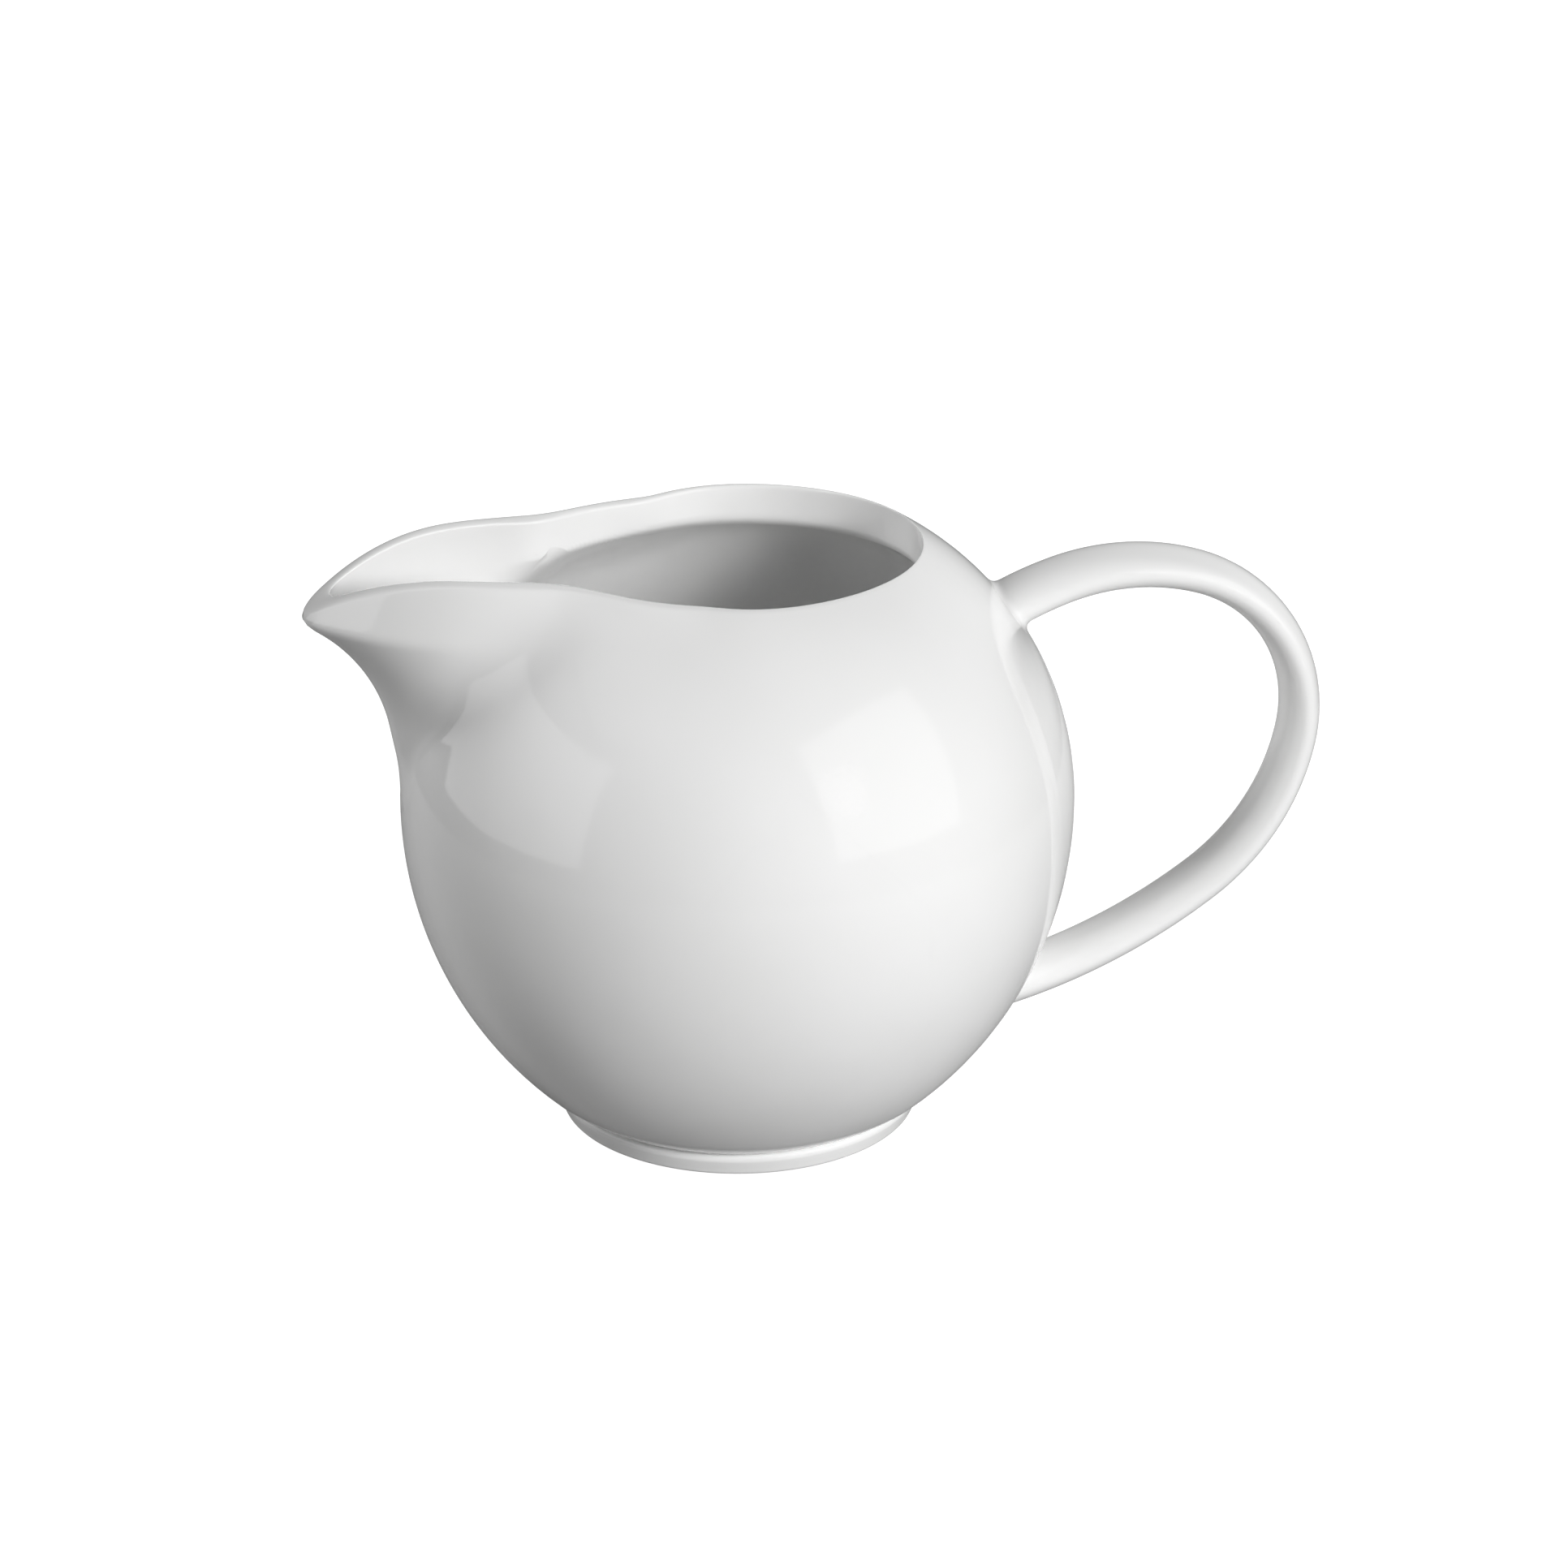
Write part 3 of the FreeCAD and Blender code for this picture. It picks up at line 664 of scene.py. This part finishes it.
def make_porcelain(name, bare_foot=False):
    """White glaze with faint clouds, ripples and specks, left off the standing face if asked."""
    material = bpy.data.materials.new(name)
    material.use_nodes = True
    tree = material.node_tree
    tree.nodes.clear()
    link = tree.links.new
    output = node(tree, "ShaderNodeOutputMaterial")
    shader = node(tree, "ShaderNodeBsdfPrincipled")
    shader.inputs["IOR"].default_value = 1.5
    shader.inputs["Specular IOR Level"].default_value = 0.5
    link(shader.outputs["BSDF"], output.inputs["Surface"])
    where = node(tree, "ShaderNodeTexCoord")

    cloud = node(tree, "ShaderNodeTexNoise")
    cloud.inputs["Scale"].default_value = CLOUD_SCALE
    cloud.inputs["Detail"].default_value = 3.0
    link(where.outputs["Object"], cloud.inputs["Vector"])
    tint = node(tree, "ShaderNodeValToRGB")
    for stop, position, colour in zip(tint.color_ramp.elements, CLOUD_SPAN, (GLAZE_DULL, GLAZE_PALE)):
        stop.position = position
        stop.color = colour
    link(cloud.outputs["Fac"], tint.inputs["Fac"])

    specks = node(tree, "ShaderNodeTexVoronoi", feature="F1")
    specks.inputs["Scale"].default_value = SPECK_SCALE
    link(where.outputs["Object"], specks.inputs["Vector"])
    dot = node(tree, "ShaderNodeMath", operation="LESS_THAN")
    dot.inputs[1].default_value = SPECK_SIZE
    link(specks.outputs["Distance"], dot.inputs[0])
    pick = node(tree, "ShaderNodeSeparateColor")
    link(specks.outputs["Color"], pick.inputs["Color"])
    few = node(tree, "ShaderNodeMath", operation="GREATER_THAN")
    few.inputs[1].default_value = SPECK_RARITY
    link(pick.outputs["Red"], few.inputs[0])
    both = node(tree, "ShaderNodeMath", operation="MULTIPLY")
    link(dot.outputs["Value"], both.inputs[0])
    link(few.outputs["Value"], both.inputs[1])
    speckled = node(tree, "ShaderNodeMix", data_type="RGBA")
    speckled.inputs["B"].default_value = SPECK_COLOUR
    link(both.outputs["Value"], speckled.inputs["Factor"])
    link(tint.outputs["Color"], speckled.inputs["A"])

    gloss = node(tree, "ShaderNodeMapRange")
    gloss.inputs["To Min"].default_value = GLAZE_ROUGHNESS[0]
    gloss.inputs["To Max"].default_value = GLAZE_ROUGHNESS[1]
    link(cloud.outputs["Fac"], gloss.inputs["Value"])

    ripple = node(tree, "ShaderNodeTexNoise")
    ripple.inputs["Scale"].default_value = RIPPLE_SCALE
    ripple.inputs["Detail"].default_value = 2.0
    link(where.outputs["Object"], ripple.inputs["Vector"])
    bump = node(tree, "ShaderNodeBump")
    bump.inputs["Strength"].default_value = RIPPLE_STRENGTH
    bump.inputs["Distance"].default_value = RIPPLE_HEIGHT
    link(ripple.outputs["Fac"], bump.inputs["Height"])
    link(bump.outputs["Normal"], shader.inputs["Normal"])

    if not bare_foot:
        link(speckled.outputs["Result"], shader.inputs["Base Color"])
        link(gloss.outputs["Result"], shader.inputs["Roughness"])
        return material

    split = node(tree, "ShaderNodeSeparateXYZ")
    link(where.outputs["Object"], split.inputs["Vector"])
    bare = node(tree, "ShaderNodeMapRange")
    bare.inputs["From Min"].default_value = GLAZED_ABOVE
    bare.inputs["From Max"].default_value = BARE_BELOW
    link(split.outputs["Z"], bare.inputs["Value"])
    grain = node(tree, "ShaderNodeTexNoise")
    grain.inputs["Scale"].default_value = BISCUIT_GRAIN
    link(where.outputs["Object"], grain.inputs["Vector"])
    biscuit = node(tree, "ShaderNodeValToRGB")
    biscuit.color_ramp.elements[0].color = BISCUIT_DARK
    biscuit.color_ramp.elements[1].color = BISCUIT_PALE
    link(grain.outputs["Fac"], biscuit.inputs["Fac"])
    colour = node(tree, "ShaderNodeMix", data_type="RGBA")
    link(bare.outputs["Result"], colour.inputs["Factor"])
    link(speckled.outputs["Result"], colour.inputs["A"])
    link(biscuit.outputs["Color"], colour.inputs["B"])
    link(colour.outputs["Result"], shader.inputs["Base Color"])
    rough = node(tree, "ShaderNodeMix", data_type="FLOAT")
    rough.inputs["B"].default_value = BISCUIT_ROUGHNESS
    link(bare.outputs["Result"], rough.inputs["Factor"])
    link(gloss.outputs["Result"], rough.inputs["A"])
    link(rough.outputs["Result"], shader.inputs["Roughness"])
    return material


# ---------------------------------------------------------------- stage, light and camera

TARGET = Vector((6.1, -1.2, 46.2)) * MM
CAMERA_AZIMUTH = -10.64
CAMERA_ELEVATION = 22.36
CAMERA_DISTANCE = 609 * MM
CAMERA_LENS = 104.6
CAMERA_SENSOR = 36.0

# Stage and lights, in metres
FLOOR_SIZE = 6.0
FLOOR_SHADE = 0.2
FLOOR_GLOW = 0.97
TABLE_RADIUS = 0.22
TABLE_SIDES = 64
TABLE_DROP = 0.0002
TABLE_GREY = 0.3
ROOM_LIGHT = 0.04
LIGHT_DISTANCE = 1.1
# Lights: name, azimuth, elevation, size, power
SOFTBOXES = [
    ("key", 28, 22, 0.3, 12.0),
    ("back_right", 146, 16, 0.4, 12.0),
    ("back_left", -122, 30, 0.4, 5.0),
    ("left", -80, 15, 0.4, 1.8),
]
# Bright cards that show in the glaze: name, azimuth, elevation, width, height, glow
CARDS = [
    ("window", 45, 22, 0.99, 0.93, 1.0),
    ("panel", -93, 12, 1.4, 0.8, 1.1),
]


def direction(azimuth, elevation):
    """From the pitcher, in degrees: azimuth 0 is in front, at -Y, and 90 is the handle's side."""
    a, e = math.radians(azimuth), math.radians(elevation)
    return Vector((math.sin(a) * math.cos(e), -math.cos(a) * math.cos(e), math.sin(e)))


def make_camera():
    data = bpy.data.cameras.new("camera")
    data.lens = CAMERA_LENS
    data.sensor_width = CAMERA_SENSOR
    camera = bpy.data.objects.new("camera", data)
    bpy.context.scene.collection.objects.link(camera)
    view = direction(CAMERA_AZIMUTH, CAMERA_ELEVATION)
    camera.location = TARGET + view * CAMERA_DISTANCE
    camera.rotation_euler = (-view).to_track_quat("-Z", "Y").to_euler()
    bpy.context.scene.camera = camera


def face_pitcher(thing, azimuth, elevation):
    bpy.context.scene.collection.objects.link(thing)
    towards = direction(azimuth, elevation)
    thing.location = TARGET + towards * LIGHT_DISTANCE
    thing.rotation_euler = towards.to_track_quat("Z", "Y").to_euler()


def make_softbox(name, azimuth, elevation, size, power):
    """A soft light that lights the pitcher but does not show in the glaze."""
    data = bpy.data.lights.new(name, "AREA")
    data.shape = "SQUARE"
    data.size = size
    data.energy = power
    light = bpy.data.objects.new(name, data)
    light.visible_glossy = False
    face_pitcher(light, azimuth, elevation)


def new_tree(owner):
    owner.use_nodes = True
    owner.node_tree.nodes.clear()
    return owner.node_tree


def rectangle(x, y):
    return [(-x, -y, 0), (x, -y, 0), (x, y, 0), (-x, y, 0)]


def flat_sheet(name, outline, material):
    mesh = bpy.data.meshes.new(name)
    mesh.from_pydata(outline, [], [list(range(len(outline)))])
    mesh.materials.append(material)
    return bpy.data.objects.new(name, mesh)


def make_card(name, azimuth, elevation, width, height, glow):
    """A glowing card that shows in the glaze only."""
    material = bpy.data.materials.new(name)
    tree = new_tree(material)
    output = node(tree, "ShaderNodeOutputMaterial")
    emission = node(tree, "ShaderNodeEmission")
    emission.inputs["Strength"].default_value = glow
    tree.links.new(emission.outputs["Emission"], output.inputs["Surface"])
    material.cycles.emission_sampling = "NONE"
    card = flat_sheet(name, rectangle(width / 2, height / 2), material)
    card.visible_camera = False
    card.visible_diffuse = False
    card.visible_shadow = False
    face_pitcher(card, azimuth, elevation)


def make_stage():
    """A white floor for the camera, and a grey table top that only the pitcher sees."""
    material = bpy.data.materials.new("floor_white")
    tree = new_tree(material)
    output = node(tree, "ShaderNodeOutputMaterial")
    total = node(tree, "ShaderNodeAddShader")
    lit = node(tree, "ShaderNodeBsdfDiffuse")
    lit.inputs["Color"].default_value = (FLOOR_SHADE, FLOOR_SHADE, FLOOR_SHADE, 1)
    glow = node(tree, "ShaderNodeEmission")
    glow.inputs["Strength"].default_value = FLOOR_GLOW
    tree.links.new(lit.outputs["BSDF"], total.inputs[0])
    tree.links.new(glow.outputs["Emission"], total.inputs[1])
    tree.links.new(total.outputs["Shader"], output.inputs["Surface"])
    floor = flat_sheet("floor", rectangle(FLOOR_SIZE, FLOOR_SIZE), material)
    floor.visible_diffuse = False
    floor.visible_glossy = False
    floor.visible_shadow = False

    material = bpy.data.materials.new("table_grey")
    tree = new_tree(material)
    output = node(tree, "ShaderNodeOutputMaterial")
    lit = node(tree, "ShaderNodeBsdfDiffuse")
    lit.inputs["Color"].default_value = (TABLE_GREY, TABLE_GREY, TABLE_GREY, 1)
    tree.links.new(lit.outputs["BSDF"], output.inputs["Surface"])
    turns = [2 * math.pi * k / TABLE_SIDES for k in range(TABLE_SIDES)]
    rim = [(TABLE_RADIUS * math.cos(a), TABLE_RADIUS * math.sin(a), -TABLE_DROP) for a in turns]
    table = flat_sheet("table", rim, material)
    table.visible_camera = False
    for stage in (floor, table):
        bpy.context.scene.collection.objects.link(stage)


def make_light():
    """A dim room that the camera sees as a white backdrop, with the softboxes and cards."""
    world = bpy.data.worlds.new("studio")
    bpy.context.scene.world = world
    tree = new_tree(world)
    output = node(tree, "ShaderNodeOutputWorld")
    path = node(tree, "ShaderNodeLightPath")
    pick = node(tree, "ShaderNodeMixShader")
    room = node(tree, "ShaderNodeBackground")
    room.inputs["Strength"].default_value = ROOM_LIGHT
    backdrop = node(tree, "ShaderNodeBackground")
    backdrop.inputs["Strength"].default_value = 1.0
    for background in (room, backdrop):
        background.inputs["Color"].default_value = (1, 1, 1, 1)
    tree.links.new(path.outputs["Is Camera Ray"], pick.inputs["Fac"])
    tree.links.new(room.outputs["Background"], pick.inputs[1])
    tree.links.new(backdrop.outputs["Background"], pick.inputs[2])
    tree.links.new(pick.outputs["Shader"], output.inputs["Surface"])
    world.cycles.sampling_method = "NONE"
    for softbox in SOFTBOXES:
        make_softbox(*softbox)
    for card in CARDS:
        make_card(*card)


make_camera()
make_stage()
make_light()
white_glaze = make_porcelain("white_glaze")
make_bowl_and_spout(white_glaze)
make_foot(make_porcelain("white_glaze_bare_rim", bare_foot=True))
make_handle(white_glaze)
bpy.context.scene.view_settings.view_transform = "Standard"
